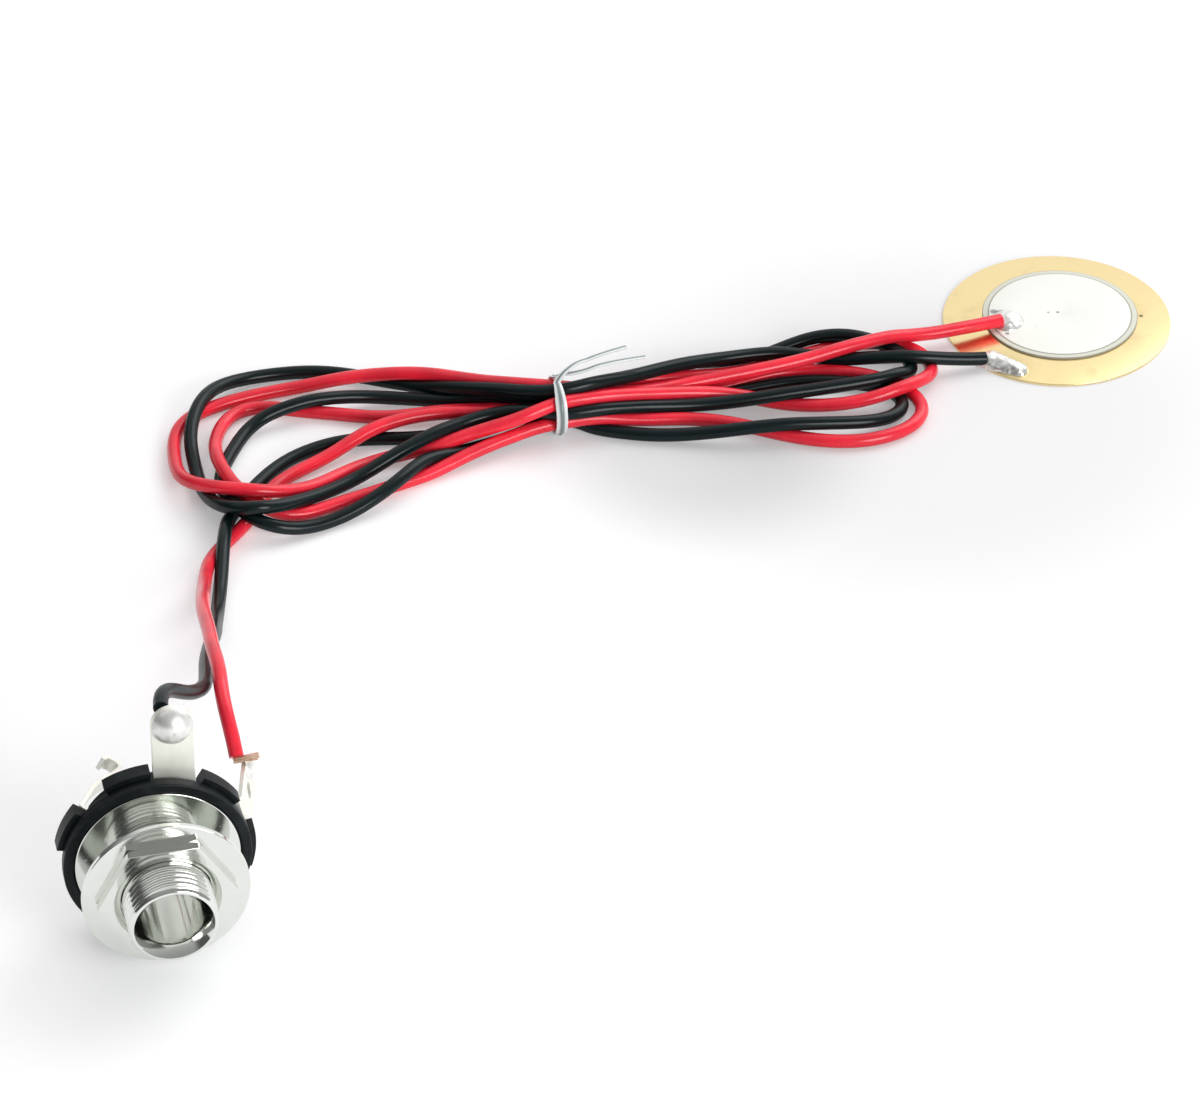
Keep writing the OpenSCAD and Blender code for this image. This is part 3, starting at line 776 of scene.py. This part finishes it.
def settle(lines, diameter, tie_x, rounds=400):
    """The wires, in millimetres, sunk on to the table and pushed apart until each lies on what is under it.

    The leads of the jack and the ends at the disc are held on their routes, the tie holds the wires
    firmly, and their soft insulation gives a little there.
    """
    lead_y, disc_end = -28.0, 9
    squeeze, squeeze_reach, tie_reach = 0.13, 4.0, 2.5
    sinking = 0.03
    homes = [ease(even_steps(line, 1.0), 10) for line in lines]
    starts = np.cumsum([0] + [len(h) for h in homes])
    spans = list(zip(starts[:-1], starts[1:]))
    home = np.vstack(homes)
    wire = np.repeat(np.arange(len(homes)), [len(h) for h in homes])
    index = np.concatenate([np.arange(len(h)) for h in homes])
    apart = (wire[:, None] != wire[None]) | (abs(index[:, None] - index[None]) > 5)
    apart = np.triu(apart, 1)
    room = diameter - squeeze * np.exp(-((home[:, 0] - tie_x) / squeeze_reach) ** 2)
    least = np.minimum(room[:, None], room[None]) ** 2
    tied = np.exp(-((home[:, 0] - tie_x) / tie_reach) ** 2)[:, None]
    held = home[:, 1] < lead_y
    for _, b in spans:
        held[b - disc_end:b] = True
    place = home.copy()
    for turn in range(rounds):
        late = turn > 0.8 * rounds
        if turn < 0.7 * rounds:
            place[:, 2] -= sinking * (1 - tied[:, 0])
        square = (place ** 2).sum(1)
        gap = square[:, None] + square[None] - 2 * place @ place.T
        i, j = np.nonzero((gap < least) & apart)
        between = place[i] - place[j]
        distance = np.maximum(np.linalg.norm(between, axis=1), 1e-6)
        push = (0.4 * (np.minimum(room[i], room[j]) - distance) / distance)[:, None] * between
        move = np.zeros_like(place)
        meets = np.zeros(len(place))
        np.add.at(move, i, push)
        np.add.at(move, j, -push)
        np.add.at(meets, i, 1)
        np.add.at(meets, j, 1)
        shift = place + move / np.sqrt(np.maximum(meets, 1))[:, None] - home
        for a, b in spans:
            ease(shift[a:b], 1 if late else 4)
        if not late:
            shift[:, :2] *= 0.997
        shift *= 1 - 0.3 * tied
        shift[held] = 0
        place = home + shift
        place[:, 2] = np.maximum(place[:, 2], diameter / 2)
    return [place[a:b] for a, b in spans]


def wire_curve(name, line, diameter):
    """A round wire along a line, as a curve of one open spline."""
    curve = bpy.data.curves.new(name, "CURVE")
    curve.dimensions = "3D"
    curve.resolution_u = 4
    curve.bevel_depth = diameter / 2
    curve.bevel_resolution = 5
    curve.use_fill_caps = True
    spline = curve.splines.new("BEZIER")
    spline.bezier_points.add(len(line) - 1)
    for point, place in zip(spline.bezier_points, line):
        point.co = place
        point.handle_left_type = "AUTO"
        point.handle_right_type = "AUTO"
    return curve


class TRANSDUCER_OT_wires(bpy.types.Operator):
    """Make the red and the black wire from the jack through the tied hank to the disc"""

    bl_idname = "transducer.wires"
    bl_label = "Wires"

    def execute(self, context):
        sizes = context.scene.transducer_wires
        routes = {"red": RED_ROUTE, "black": BLACK_ROUTE}
        raw = [smooth_line([p for leg in route.values() for p in leg]) for route in routes.values()]
        tie_x = node_middle("brass_plate")[0] / MM + TIE_DX
        lines = settle(raw, sizes.diameter / MM, tie_x)
        for name, line in zip(routes, lines):
            places = even_steps(line, 2.0) * MM
            curve = wire_curve(name + "_wire", places, sizes.diameter)
            colour, shine = getattr(sizes, name), getattr(sizes, name + "_shine")
            curve.materials.append(insulation_finish(name + "_insulation", colour, shine))
            cord = bpy.data.objects.new(name + "_wire", curve)
            context.scene.collection.objects.link(cord)
            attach(cord, BODY)
            name + "_wire"
        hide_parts("red_lead_jack", "red_lead_disc", "wire_hank")
        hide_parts("black_lead_jack", "black_lead_disc")
        return {"FINISHED"}


class TRANSDUCER_OT_tie(bpy.types.Operator):
    """Make the tie: a ribbon with a wire core, bent round the hank and twisted on itself"""

    bl_idname = "transducer.tie"
    bl_label = "Tie"

    def execute(self, context):
        sizes = context.scene.transducer_wires
        half = sizes.tie_width / 2
        core, wing, core_reach = 0.34 * MM, 0.13 * MM, 0.3 * MM
        ring_x, ring_y, ring_z = TIE_LOW[0] + 0.5 * MM, -9.5 * MM, TIE_LOW[2]
        ring_r, root_lift = 3.3 * MM, 0.25 * MM
        centre = np.array([ring_x, ring_y, ring_z + ring_r + core])
        root_angle, gap = math.radians(82), math.radians(14)
        cross_r, cross_part, rise, thin = 0.35 * MM, 0.45, 0.4 * MM, 0.5
        first_run, second_run = (9.2, 3.7, 0.3), (11.0, 2.3, -0.2)

        def ring_out(angle):
            return np.array([0, math.cos(angle), math.sin(angle)])

        root = centre + (ring_r + root_lift) * ring_out(root_angle)

        def strand(phase, run):
            """One free end from the root outwards, which crosses the other once."""
            run, up = np.array(run) * MM, np.array([0, 0, 1.0])
            side = np.cross(run, up)
            side /= np.linalg.norm(side)
            steps = []
            for t in np.linspace(0.1, 1, 16):
                a = phase + math.pi * min(1.0, t / cross_part)
                off = cross_r * (1 - 0.5 * t) * (math.cos(a) * side + math.sin(a) * up)
                bow = rise * math.sin(math.pi * t) * up
                steps.append((root + t * run + off + bow, up, thin))
            return steps

        ring = []
        ring_steps = 48
        for k, a in enumerate(np.linspace(gap, 2 * math.pi - gap, ring_steps)):
            out = ring_out(root_angle + a)
            scale = min(1.0, thin + 0.5 * a, thin + 0.025 * (ring_steps - 1 - k))
            ring.append((centre + ring_r * out, out, scale))
        path = strand(0.0, first_run)[::-1] + ring + strand(math.pi, second_run)
        centres = smooth_line([place for place, _, _ in path], 4)
        marks = np.arange(len(path))
        fine = np.linspace(0, marks[-1], len(centres))
        outs = np.stack(
            [np.interp(fine, marks, [out[k] for _, out, _ in path]) for k in range(3)], axis=1
        )
        scales = np.interp(fine, marks, [scale for _, _, scale in path])
        upper = [
            (u, wing + (core - wing) * math.exp(-((u / core_reach) ** 2)))
            for u in np.linspace(-half, half, 9)
        ]
        section = upper + [(u, -v) for u, v in reversed(upper)]
        mesh = sweep("tie_ribbon", centres, outs, scales, section)
        new_piece("tie_ribbon", mesh, tie_finish(sizes.tie, sizes.tie_core), "tie_wire")
        return {"FINISHED"}


class TRANSDUCER_OT_disc(bpy.types.Operator):
    """Make the brass plate, the ceramic disc and the fired silver layer"""

    bl_idname = "transducer.disc"
    bl_label = "Sensor disc"

    def execute(self, context):
        colours = context.scene.transducer_disc
        joint = tuple(node_middle("plate_joint"))
        speck = (10 * MM, -1.4 * MM, node_box("brass_plate")[1][2])
        silver_r, rim_r = node_radius("silver_electrode"), node_radius("ceramic_disc")
        hub, segments = 0.01 * MM, 160
        finishes = {
            "brass_plate": (brass_finish(colours.brass, joint, speck), "brass", 0.08 * MM),
            "ceramic_disc": (
                ceramic_finish(colours.ceramic, silver_r, rim_r), "ceramic", 0.07 * MM
            ),
            "silver_electrode": (self.silver(colours.electrode), "electrode", 0.02 * MM),
        }
        for node, (finish, slot, edge) in finishes.items():
            low, high = node_box(node)
            middle = node_middle(node)
            r = node_radius(node)
            outline = rounded(
                [(hub, low[2]), (r, low[2]), (r, high[2]), (hub, high[2])], edge, steps=3
            )
            place = Matrix.Translation((middle[0], middle[1], 0))
            mesh = lathe(node + "_turned", outline, segments, place)
            new_piece(node + "_turned", mesh, finish, node)
        return {"FINISHED"}

    def silver(self, colour):
        """The silver layer's finish, with its small marks and a painted shadow smear round the joint."""
        top = node_box("silver_electrode")[1][2]
        joint = node_middle("electrode_joint")
        marks = [
            ((0.4 * MM, 1.0 * MM, top), 0.35 * MM),
            ((-0.7 * MM, 1.2 * MM, top), 0.25 * MM),
            # Painted shadow: the patch round the joint and the smear of three marks beside it
            ((joint[0], joint[1], top), 2.2 * MM),
            ((-7.0 * MM, 2.7 * MM, top), 0.7 * MM),
            ((-6.2 * MM, 2.4 * MM, top), 0.7 * MM),
            ((-5.3 * MM, 2.1 * MM, top), 0.5 * MM),
            ((-6.6 * MM, -2.1 * MM, top), 0.4 * MM),
        ]
        return electrode_finish(colour, marks)


class TRANSDUCER_OT_disc_solder(bpy.types.Operator):
    """Make the solder joints of both wires on the disc"""

    bl_idname = "transducer.disc_solder"
    bl_label = "Disc solder"

    def execute(self, context):
        finish = solder_finish("disc_solder", context.scene.transducer_disc.solder, 0.95)
        for node in ("plate_joint", "electrode_joint"):
            new_piece(node + "_blob", lumpy(node, lump=0.22 * MM, swell=1.2), finish, node)
        return {"FINISHED"}


class TRANSDUCER_OT_bushing(bpy.types.Operator):
    """Make the bushing with its cut thread, flange, flared bore and rolled tail"""

    bl_idname = "transducer.bushing"
    bl_label = "Bushing"

    def execute(self, context):
        sizes = context.scene.transducer_jack
        back, front = jack_span("bushing")
        flange_r = node_radius("bushing")
        flange_t, tail_r, lip_r, lip_t = 0.8 * MM, 4.0 * MM, 4.8 * MM, 0.6 * MM
        major, edge, corner, segments = 4.75 * MM, 0.3 * MM, 0.14 * MM, 144
        depth, pitch, rows_per_turn = sizes.thread_depth, sizes.thread_pitch, 9
        top = front - edge
        rows = int(top / pitch * rows_per_turn)
        thread = [(major, z) for z in np.linspace(0.02 * MM, top, rows)]
        crown = [(major - 0.2 * MM, front - 0.1 * MM), (major - 0.28 * MM, front - 0.02 * MM)]
        bore_front = JACK_ORIGIN.y - PLUG_BORE["pos_m"][1]
        mouth_r = BORE_R + sizes.lead_in
        mouth = [
            (mouth_r, front), (BORE_R + 0.06 * MM, bore_front + 0.08 * MM), (BORE_R, bore_front - 0.1 * MM)
        ]
        bore = [(BORE_R, z) for z in np.linspace(bore_front - 0.5 * MM, back + 0.3 * MM, 12)]
        lip = rounded(
            [
                (BORE_R, back), (lip_r, back), (lip_r, back + lip_t), (tail_r, back + lip_t),
                (tail_r, -flange_t), (flange_r, -flange_t), (flange_r, 0.0), (major - 0.3 * MM, 0.0),
            ],
            corner,
        )
        profile = [tuple(p) for p in lip] + thread + crown + mouth + bore
        near, root_flat, flank, end_cut = 0.01 * MM, 0.1, 0.75, 0.15

        def threaded(r, z, angle):
            """The thread's helix on the major radius, run out over half a pitch at the front."""
            if r < major - near or r > major + near:
                return r
            phase = (z / pitch - angle / (2 * math.pi)) % 1.0
            crest = min(max((1 - abs(2 * phase - 1) - root_flat) / flank, 0.0), 1.0)
            fade = min(1.0, max(0.0, (top - z) / (0.5 * pitch)))
            return r - depth * (end_cut * (1 - fade) + fade * (1 - crest))

        mesh = lathe("bushing_threaded", profile, segments, JACK, sharp=50.0, radius_at=threaded)
        new_piece("bushing_threaded", mesh, self.nickel(sizes.nickel), "bushing")
        return {"FINISHED"}

    @staticmethod
    def nickel(colour):
        """The plate's finish, shared by the bushing, the nut and the washer."""
        return bpy.data.materials.get("nickel_plate") or nickel_finish(colour)


class TRANSDUCER_OT_fasteners(bpy.types.Operator):
    """Make the hex nut and the panel washer"""

    bl_idname = "transducer.fasteners"
    bl_label = "Nut and washer"

    def execute(self, context):
        nickel = TRANSDUCER_OT_bushing.nickel(context.scene.transducer_jack.nickel)
        for node, edge in (("hex_nut", 0.06 * MM), ("panel_washer", 0.12 * MM)):
            new_piece(node + "_rounded", softened(node, edge), nickel, node)
        return {"FINISHED"}


class TRANSDUCER_OT_insulators(bpy.types.Operator):
    """Make the three moulded insulators"""

    bl_idname = "transducer.insulators"
    bl_label = "Insulators"

    def execute(self, context):
        finish = moulded_finish(context.scene.transducer_jack.plastic)
        for node in ("front_insulator", "slotted_insulator", "rear_insulator"):
            new_piece(node + "_moulded", softened(node, 0.16 * MM), finish, node)
        return {"FINISHED"}


class TRANSDUCER_OT_terminals(bpy.types.Operator):
    """Make the sleeve terminal and the tip contact"""

    bl_idname = "transducer.terminals"
    bl_label = "Terminals"

    def execute(self, context):
        finish = tinned_finish(context.scene.transducer_jack.tinned)
        for node in ("sleeve_terminal", "tip_contact"):
            new_piece(node + "_stamped", softened(node, 0.08 * MM, steps=2), finish, node)
        return {"FINISHED"}


class TRANSDUCER_OT_jack_solder(bpy.types.Operator):
    """Make the solder on both terminals"""

    bl_idname = "transducer.jack_solder"
    bl_label = "Jack solder"

    def execute(self, context):
        finish = solder_finish("jack_solder", context.scene.transducer_disc.solder, 0.7)
        for node in ("sleeve_solder", "tag_solder"):
            new_piece(node + "_blob", softened(node, 0.1 * MM), finish, node)
        return {"FINISHED"}


class TRANSDUCER_OT_strands(bpy.types.Operator):
    """Make the bare copper strands over the tag's edge"""

    bl_idname = "transducer.strands"
    bl_label = "Copper strands"

    def execute(self, context):
        sizes = context.scene.transducer_wires
        tree = self.tree()
        work = bpy.data.objects.new("strands_work", bpy.data.meshes.new("strands_work"))
        context.scene.collection.objects.link(work)
        modifier = work.modifiers.new("strands", "NODES")
        modifier.node_group = tree
        finish = copper_finish(sizes.copper)
        low, high = node_box("copper_strands")
        length = (high[0] - low[0]) / STRAND_WAY.x
        values = {
            "Count": sizes.strand_count, "Length": length, "Strand radius": sizes.strand_diameter / 2,
            "Bundle radius": 0.3 * MM, "Material": finish,
        }
        for item in tree.interface.items_tree:
            if item.item_type == "SOCKET" and item.in_out == "INPUT":
                modifier[item.identifier] = values[item.name]
        mesh = plain_mesh(work, "copper_strands_bare")
        middle = Vector((low + high) / 2)
        turn = STRAND_WAY.to_track_quat("Z", "Y").to_matrix().to_4x4()
        mesh.transform(Matrix.Translation(middle) @ turn @ Matrix.Translation((0, 0, -length / 2)))
        new_piece("copper_strands_bare", tidy(mesh, 60.0), finish, "copper_strands")
        return {"FINISHED"}

    @staticmethod
    def tree():
        """Strands side by side in a round bundle, each a little askew."""
        tree = bpy.data.node_groups.new("strand_bundle", "GeometryNodeTree")
        for name, kind in (
            ("Count", "NodeSocketInt"), ("Length", "NodeSocketFloat"), ("Strand radius", "NodeSocketFloat"),
            ("Bundle radius", "NodeSocketFloat"), ("Material", "NodeSocketMaterial"),
        ):
            tree.interface.new_socket(name, in_out="INPUT", socket_type=kind)
        tree.interface.new_socket("Geometry", in_out="OUTPUT", socket_type="NodeSocketGeometry")

        bundle = Shading(tree)
        given = bundle.node("NodeGroupInput")
        feet = bundle.node(
            "GeometryNodePoints", {}, {"Count": given["Count"], "Radius": given["Strand radius"]}
        )
        spread = bundle.node(
            "FunctionNodeRandomValue", {"data_type": "FLOAT_VECTOR"},
            {"Min": (-1.0, -1.0, 0.0), "Max": (1.0, 1.0, 0.0), "Seed": 4},
        )
        place = bundle.node(
            "ShaderNodeVectorMath", {"operation": "SCALE"},
            {0: spread[0], "Scale": given["Bundle radius"]},
        )
        feet = bundle.node("GeometryNodeSetPosition", {}, {"Geometry": feet[0], "Position": place[0]})
        tip = bundle.node("ShaderNodeCombineXYZ", {}, {"Z": given["Length"]})
        line = bundle.node("GeometryNodeCurvePrimitiveLine", {}, {"End": tip[0]})
        line = bundle.node("GeometryNodeResampleCurve", {}, {"Curve": line[0], "Count": 8})
        ring = bundle.node(
            "GeometryNodeCurvePrimitiveCircle", {}, {"Resolution": 8, "Radius": given["Strand radius"]}
        )
        tube = bundle.node(
            "GeometryNodeCurveToMesh", {},
            {"Curve": line[0], "Profile Curve": ring[0], "Fill Caps": True},
        )
        lean = bundle.node(
            "FunctionNodeRandomValue", {"data_type": "FLOAT_VECTOR"},
            {"Min": (-0.1, -0.1, 0.0), "Max": (0.1, 0.1, 0.0), "Seed": 9},
        )
        size = bundle.node(
            "FunctionNodeRandomValue", {"data_type": "FLOAT"}, {"Min": 0.82, "Max": 1.0, "Seed": 2}
        )
        copies = bundle.node(
            "GeometryNodeInstanceOnPoints", {},
            {"Points": feet[0], "Instance": tube[0], "Rotation": lean[0], "Scale": size[1]},
        )
        whole = bundle.node("GeometryNodeRealizeInstances", {}, {"Geometry": copies[0]})
        finish = bundle.node(
            "GeometryNodeSetMaterial", {}, {"Geometry": whole[0], "Material": given["Material"]}
        )
        bundle.node("NodeGroupOutput", {}, {"Geometry": finish[0]})
        return tree


class TRANSDUCER_OT_stage(bpy.types.Operator):
    """Make the floor, the lights and the camera"""

    bl_idname = "transducer.stage"
    bl_label = "Stage"

    def execute(self, context):
        sizes = context.scene.transducer_stage
        scene = context.scene
        scene.view_settings.view_transform = "Standard"
        self.floor(scene, sizes)
        self.sky(scene, sizes)
        self.lamp(scene, "key", sizes.key, *KEY_LAMP)
        self.lamp(scene, "front", sizes.fill, *FRONT_LAMP)
        self.camera(scene)
        return {"FINISHED"}

    def floor(self, scene, sizes):
        mesh = bpy.data.meshes.new("floor")
        far = 3.0
        corners = [(-far, -far, 0), (far, -far, 0), (far, far, 0), (-far, far, 0)]
        mesh.from_pydata(corners, [], [(0, 1, 2, 3)])
        f = Finish("studio_floor")
        rays = f.node("ShaderNodeLightPath")
        seen = (rays["Is Camera Ray"] + rays["Is Glossy Ray"] + rays["Is Transmission Ray"]).ramp(0.0, 1.0)
        glow = f.blend(seen, (0.0, 0.0, 0.0, 1.0), shade(sizes.floor, sizes.glow))
        # Shade painted into the floor's colour at each place, for the soft shadow beside the hank and the
        # disc
        near, wide = (0.5 * f.spot(place, radius) for place, radius in PAINTED_FLOOR_SHADES)
        painted_shade = near + wide
        colour = f.blend(painted_shade, shade(sizes.floor, 1.0), shade(sizes.floor, 0.5))
        mesh.materials.append(
            f.set(base_color=colour, roughness=0.9, emission_color=glow, emission_strength=1.0)
        )
        floor = bpy.data.objects.new("floor", mesh)
        scene.collection.objects.link(floor)

    def sky(self, scene, sizes):
        world = bpy.data.worlds.new("studio")
        world.use_nodes = True
        scene.world = world
        tree = Shading(world.node_tree)
        direction = tree.node("ShaderNodeTexCoord")["Generated"]
        axes = tree.node("ShaderNodeSeparateXYZ", {}, {0: direction})
        # Dark low on the left, dim in front and bright behind
        dark, dim, bright = 0.1, 0.25, 0.65
        left_low = (1 - axes["X"].ramp(-0.75, 0.1)) * (1 - axes["Z"].ramp(0.45, 0.75))
        behind = axes["Y"].ramp(-0.4, 0.4)
        strength = sizes.sky * (dark + (1 - left_low) * (dim + bright * behind))
        white = (1.0, 1.0, 1.0, 1.0)
        glow = tree.node("ShaderNodeBackground", {}, {"Color": white, "Strength": strength})
        tree.node("ShaderNodeOutputWorld", {}, {"Surface": glow["Background"]})

    def lamp(self, scene, name, power, size, offset):
        data = bpy.data.lights.new(name, "AREA")
        data.shape = "DISK"
        data.size = size
        data.energy = power
        lamp = bpy.data.objects.new(name, data)
        middle = Vector((np.array(CAD_BOX[0]) + np.array(CAD_BOX[1])) / 2)
        lamp.location = middle + Vector(offset)
        lamp.rotation_euler = (-Vector(offset)).to_track_quat("-Z", "Y").to_euler()
        scene.collection.objects.link(lamp)

    def camera(self, scene):
        data = bpy.data.cameras.new("picture")
        data.sensor_fit = "HORIZONTAL"
        data.sensor_width = SENSOR_WIDTH
        data.lens = CAMERA_LENS
        data.clip_start = 0.05
        data.clip_end = 20.0
        camera = bpy.data.objects.new("picture", data)
        camera.location = CAMERA_AT
        camera.rotation_euler = (CAMERA_AIM - CAMERA_AT).to_track_quat("-Z", "Y").to_euler()
        scene.collection.objects.link(camera)
        scene.camera = camera


PIECES = (
    TRANSDUCER_OT_wires,
    TRANSDUCER_OT_tie,
    TRANSDUCER_OT_disc,
    TRANSDUCER_OT_disc_solder,
    TRANSDUCER_OT_bushing,
    TRANSDUCER_OT_fasteners,
    TRANSDUCER_OT_insulators,
    TRANSDUCER_OT_terminals,
    TRANSDUCER_OT_jack_solder,
    TRANSDUCER_OT_strands,
    TRANSDUCER_OT_stage,
)


class TRANSDUCER_PT_panel(bpy.types.Panel):
    """The transducer's pieces, with their sizes and colours"""

    bl_idname = "TRANSDUCER_PT_panel"
    bl_label = "Transducer"
    bl_space_type = "VIEW_3D"
    bl_region_type = "UI"
    bl_category = "Transducer"

    def draw(self, context):
        for piece in PIECES:
            self.layout.operator(piece.bl_idname)
        for group in SETTINGS:
            settings = getattr(context.scene, group)
            for name in settings.bl_rna.properties.keys():
                if name not in ("rna_type", "name"):
                    self.layout.prop(settings, name)


SETTINGS = {
    "transducer_wires": WireSettings,
    "transducer_disc": DiscSettings,
    "transducer_jack": JackSettings,
    "transducer_stage": StageSettings,
}


def register():
    for group, settings in SETTINGS.items():
        bpy.utils.register_class(settings)
        setattr(bpy.types.Scene, group, PointerProperty(type=settings))
    for piece in PIECES:
        bpy.utils.register_class(piece)
    bpy.utils.register_class(TRANSDUCER_PT_panel)


def unregister():
    bpy.utils.unregister_class(TRANSDUCER_PT_panel)
    for piece in reversed(PIECES):
        bpy.utils.unregister_class(piece)
    for group, settings in SETTINGS.items():
        delattr(bpy.types.Scene, group)
        bpy.utils.unregister_class(settings)


def main():
    register()
    for piece in PIECES:
        family, name = piece.bl_idname.split(".")
        getattr(getattr(bpy.ops, family), name)()


if __name__ == "__main__":
    main()
